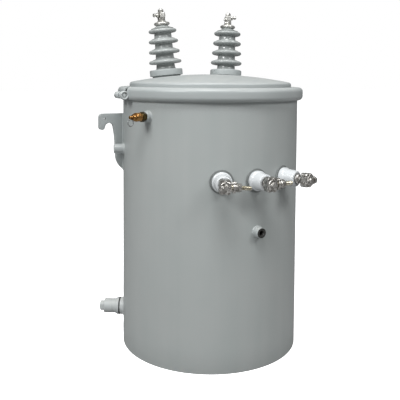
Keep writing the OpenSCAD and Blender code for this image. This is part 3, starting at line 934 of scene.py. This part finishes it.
# %% Lifting lugs
lug_low, lug_high, _ = box_mm("lifting_lug_right")
lug_x, lug_top, lug_t = lug_high.x, lug_high.z, lug_high.y - lug_low.y
lug_root, lug_corner, lug_tall = TANK_R - 20, 10, 165
nose_w, arch_d, tag_hole_r = 16.3, 26.0, 3
neck_x = lug_x - nose_w - arch_d
arch_z, nose_z = lug_top - 26.5, lug_top - 46
lug_outline = [(lug_root, lug_top),
               *arc(lug_x - lug_corner, lug_top - lug_corner, lug_corner, 90, 0, 8)]
lug_outline += arc(lug_x - nose_w / 2, nose_z + nose_w / 2, nose_w / 2, 0, -180, 12)
lug_outline += arc(neck_x + arch_d / 2, arch_z - arch_d / 2, arch_d / 2, 0, 180, 16)
lug_outline += [(neck_x - 1.4, lug_top - 46), (neck_x - 4, lug_top - 64),
                (neck_x - 5.5, lug_top - 84), (neck_x - 6.9, lug_top - 112),
                *arc(neck_x - 58, lug_top - 118, 51, -2, -55, 10),
                (lug_root, lug_top - lug_tall)]


def lifting_lug(name, side):
    """The right-hand plate with its two weld beads, mirrored for the left-hand side."""
    piece = plate(name, lug_outline, lug_t)
    move(piece, at(0, lug_high.y) @ turn(90, "X"))
    hole = rod("cutter", tag_hole_r, -lug_t - 8, 8, 32)
    carve(piece, move(hole, at(lug_x - 16, lug_low.y, lug_top - 14.5) @ turn(90, "X")))
    soften(piece, 2.4, 4, 40)
    beads = [move(weld_line(name, lug_tall - 5, 3.0),
                  at(wall_at(y) + 0.6, y, lug_top - lug_tall + 4))
             for y in (lug_low.y, lug_high.y)]
    weld_together(name, piece, *beads)
    if side < 0:
        take(piece)
        bpy.ops.transform.mirror(constraint_axis=(True, False, False),
                                 center_override=(0, 0, 0))
        freeze()
        edit(piece)
        tidy_mesh(0.0001)
    return piece


for side, word in ((-1, "left"), (1, "right")):
    settle(lifting_lug("lifting_lug_" + word + "_plate", side), at(), fitting_enamel,
           "tank_paint", "lifting_lug_" + word)

# %% [markdown]
# ## Bosses
# Two side bosses and the ground boss are drilled and tapped bars, welded on end to the
# wall. The thread inside each hole is real geometry. The ground boss's face and thread are
# left bare for a connector, so they are dark steel.

# %% Side bosses and ground boss
def tapped_boss(name, r, length, bore, deep, edge_round=1.4):
    """A bar welded to the wall, with a countersunk, tapped hole in its end."""
    half_pitch, thread_deep = 0.9, 0.5
    inner = [(bore + 0.9, length), (bore, length - 1.2)]
    inner += [(bore - thread_deep * (i % 2), length - 2 - half_pitch * i)
              for i in range(int((deep - 3) / half_pitch))]
    body = lathe(name, [
        (0, -4), (r, -4), (r, length - edge_round), *arc(r - edge_round, length - edge_round,
                                                         edge_round, 0, 90, 4),
        *inner, (bore - 0.2, length - deep), (0, length - deep - 2)], 64)
    return weld_together(name, body, weld_ring("bead", r + 0.2, 2.4))


for word in ("left", "right"):
    boss = tapped_boss(f"side_boss_{word}_tapped", 13, 28, 6, 20)
    settle(boss, on_wall("side_boss_" + word), fitting_enamel, "tank_paint",
           "side_boss_" + word)

ground_l, bare_r = 20, 7.5
ground = tapped_boss("ground_boss_tapped", 13.5, ground_l, 6.35, 16, 1.0)
paint(ground, fitting_enamel, dark_steel)
edit(ground)
bare = pick(lambda f: f.calc_center_median().z > (ground_l - 0.1) * MM
            or f.calc_center_median().xy.length < bare_r * MM)
ground.active_material_index = 1
bpy.ops.object.material_slot_assign()
print("bare faces on the ground boss:", bare)
settle(ground, on_wall("ground_boss"), None, "tank_paint", "ground_boss")

# %% [markdown]
# ## Drain valve
# Near the foot of the tank: a weld boss, a thin gasket, and a valve body with a flange, a
# round barrel and a hexagon end that a wrench turns.

# %% Drain valve
drain = on_wall("drain_boss")
drain_r, body_r, gasket_at, flange_at = 24.5, 20.5, 12, 15
boss = lathe("drain_weld_boss", [
    (0, -4), (drain_r, -4), (drain_r, gasket_at - edge_round),
    *arc(drain_r - edge_round, gasket_at - edge_round, edge_round, 0, 90, 3),
    (0, gasket_at)], 72)
settle(weld_together("drain_weld_boss", boss, weld_ring("bead", drain_r + 0.2, 3.0, 40)), drain,
       pale_enamel, "tank_paint", "drain_boss")
gasket = lathe("drain_gasket_ring", [
    (0, gasket_at), (drain_r - 0.1, gasket_at), *arc(drain_r - 0.1, 13.5, 0.6, -60, 60, 4),
    (drain_r - 0.1, flange_at), (0, flange_at)], 72)
settle(gasket, drain, rubber, "rubber", "drain_gasket")
barrel = lathe("drain_valve_body", [
    (0, flange_at), (drain_r - 0.9, flange_at), (drain_r, flange_at + 0.9), (drain_r, 20.4),
    *arc(drain_r - 1.5, 20.4, 1.5, 0, 90, 4), (22.3, 22.4), (22.3, 24.6), (21.4, 25.4),
    (body_r, 26.4), (body_r, 36), (20, 36.5), (20, 37.5), (body_r, 38), (body_r, 57),
    *arc(body_r - 3, 57, 3, 0, 80, 6), (13, 60.4), (0, 60.4)], 72)
end = hexagon("end", 26, 60, 72.4, chamfer=1.6)
settle(weld_together("drain_valve_body", barrel, end), drain, pale_enamel, "tank_paint",
       "drain_valve")

# %% [markdown]
# ## Support lugs
# On the pole side, two bent channels stand off the wall, one above the other. Each face
# has an upright slot for the pole's through bolt. The channel's section is drawn with its
# bend radii and extruded to its height; the slot is cut with a rounded bar.

# %% Support lugs
def support_lug(name, node_name):
    low, high, _ = box_mm(node_name)
    half, face, tall = high.x, high.y, high.z - low.z
    t, bend, slot_w, slot_l = 6.0, 9, 17.5, 36.0
    root = wall_at(half) - 1
    outer = [(-half, root), *arc(bend - half, face - bend, bend, 180, 90, 6),
             *arc(half - bend, face - bend, bend, 90, 0, 6), (half, root)]
    inner = [(half - t, root + 1.5), *arc(half - bend, face - bend, bend - t, 0, 90, 4),
             *arc(bend - half, face - bend, bend - t, 90, 180, 4), (t - half, root + 1.5)]
    piece = plate(name, outer + inner, tall)
    for up in (1, -1):
        end_z = tall / 2 + up * (slot_l - slot_w) / 2
        bar = rod("slot", slot_w / 2, -20, 20, 48)
        carve(piece, move(bar, at(0, face, end_z) @ turn(90, "X")))
    carve(piece, block("slot", (slot_w, 40, slot_l - slot_w), (0, face, tall / 2), 0))
    soften(piece, 1.2, 3, 40)
    beads = [move(weld_line(name, tall - 2, 2.8), at(side * (half + 0.4), root + 1.6, 1))
             for side in (-1, 1)]
    weld_together(name, piece, *beads)
    return move(piece, at(0, 0, low.z))


for word in ("upper", "lower"):
    settle(support_lug(f"support_lug_{word}_channel", "support_lug_" + word), at(),
           fitting_enamel, "tank_paint", "support_lug_" + word)

# %% [markdown]
# ## What stays as packed
# The bottom plate, the rim ring, the big gasket and the sealed core are plain shapes that
# are right as they are. They only get their finishes.

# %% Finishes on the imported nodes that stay
iron = bare_metal("iron", (120, 112, 104), (84, 74, 66), (0.5, 0.7))
for name, material, slot in (("tank_bottom", tank_enamel, "tank_paint"),
                             ("tank_rim", tank_enamel, "tank_paint"),
                             ("cover_gasket", rubber, "rubber"),
                             ("core_and_coils", iron, "core_steel")):
    paint(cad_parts[name], material)

# %% [markdown]
# ## Stage, light and camera
# The floor is plain and pale. The camera sees it glow almost white, and everything else
# sees a mid grey, so that it throws little light back up at the tank.

# %% Floor
floor_size, floor_glow = 60, 0.9
clear()
bpy.ops.mesh.primitive_plane_add(size=floor_size, location=(0, 0, -0.0005))
floor = named("floor")
pale, tree, shader = new_material("pale_floor", Roughness=0.9)
film = use(tree, film_group, Peel_Scale=60.0, Streak=0.0)
seen = node(tree, "LightPath").outputs["Is Camera Ray"]
white = blend(tree, film["Tone"], chart(246, 246, 246), chart(250, 250, 250))
drive(tree, shader, Base_Color=blend(tree, seen, chart(150, 150, 150), white),
      Emission_Color=white, Emission_Strength=calc(tree, "MULTIPLY", seen, floor_glow))
paint(floor, pale)

# %% [markdown]
# Three soft discs hang well above the tank: one overhead in front, the strongest high on
# the left, and a weaker one on the right. The surround is white to the camera, but lights
# the tank only weakly, and less from the horizon than from above.

# %% Light
scene = bpy.context.scene
LIT_POINT = Vector((0, 0, 0.45))


def soft_light(name, place, size, power):
    """A disc of light that faces the middle of the tank."""
    lamp = bpy.data.lights.new(name, "AREA")
    lamp.shape, lamp.size, lamp.energy = "DISK", size, power
    made = bpy.data.objects.new(name, lamp)
    made.location = place
    made.rotation_euler = (LIT_POINT - Vector(place)).to_track_quat("-Z", "Y").to_euler()
    scene.collection.objects.link(made)


soft_light("overhead", (-0.7, -1.2, 3.2), 1.4, 66)
soft_light("left_high", (-3.0, -1.0, 2.7), 1.2, 80)
soft_light("right_high", (1.3, -2.7, 2.8), 1.2, 44)

horizon, zenith, zenith_from = 0.1, 0.42, 0.7
world = bpy.data.worlds.new("surround")
scene.world = world
world.use_nodes = True
tree = world.node_tree
seen = node(tree, "LightPath").outputs["Is Camera Ray"]
height = node(tree, "SeparateXYZ",
              {0: node(tree, "TexCoord").outputs["Generated"]}).outputs["Z"]
sky = spread(tree, height, 0.0, zenith_from, horizon, zenith)
for_light = calc(tree, "MULTIPLY", sky, calc(tree, "SUBTRACT", 1.0, seen))
back = tree.nodes["Background"]
drive(tree, back, Strength=calc(tree, "ADD", seen, for_light))
back.inputs["Color"].default_value = (1, 1, 1, 1)

# %% [markdown]
# The camera stands to the left of the front, a little above the tank's middle, and looks
# slightly down. The lens is shifted, so that the tank's sides stay nearly parallel.

# %% Camera
lens = bpy.data.cameras.new("camera")
lens.sensor_width, lens.lens, lens.shift_y = 36.0, 54.927, -0.2187
lens.clip_start, lens.clip_end = 0.05, 100
camera = bpy.data.objects.new("camera", lens)
camera.location = (-0.8520, -1.5529, 0.7577)
camera.rotation_euler = [math.radians(v) for v in (86.7681, -0.3445, -27.7922)]
scene.collection.objects.link(camera)
scene.camera = camera
scene.view_settings.view_transform = "Standard"

# %% [markdown]
# ## The view layer is brought up to date.
# the looks have to stay inside the frame's size.

# %% Finish
bpy.context.view_layer.update()
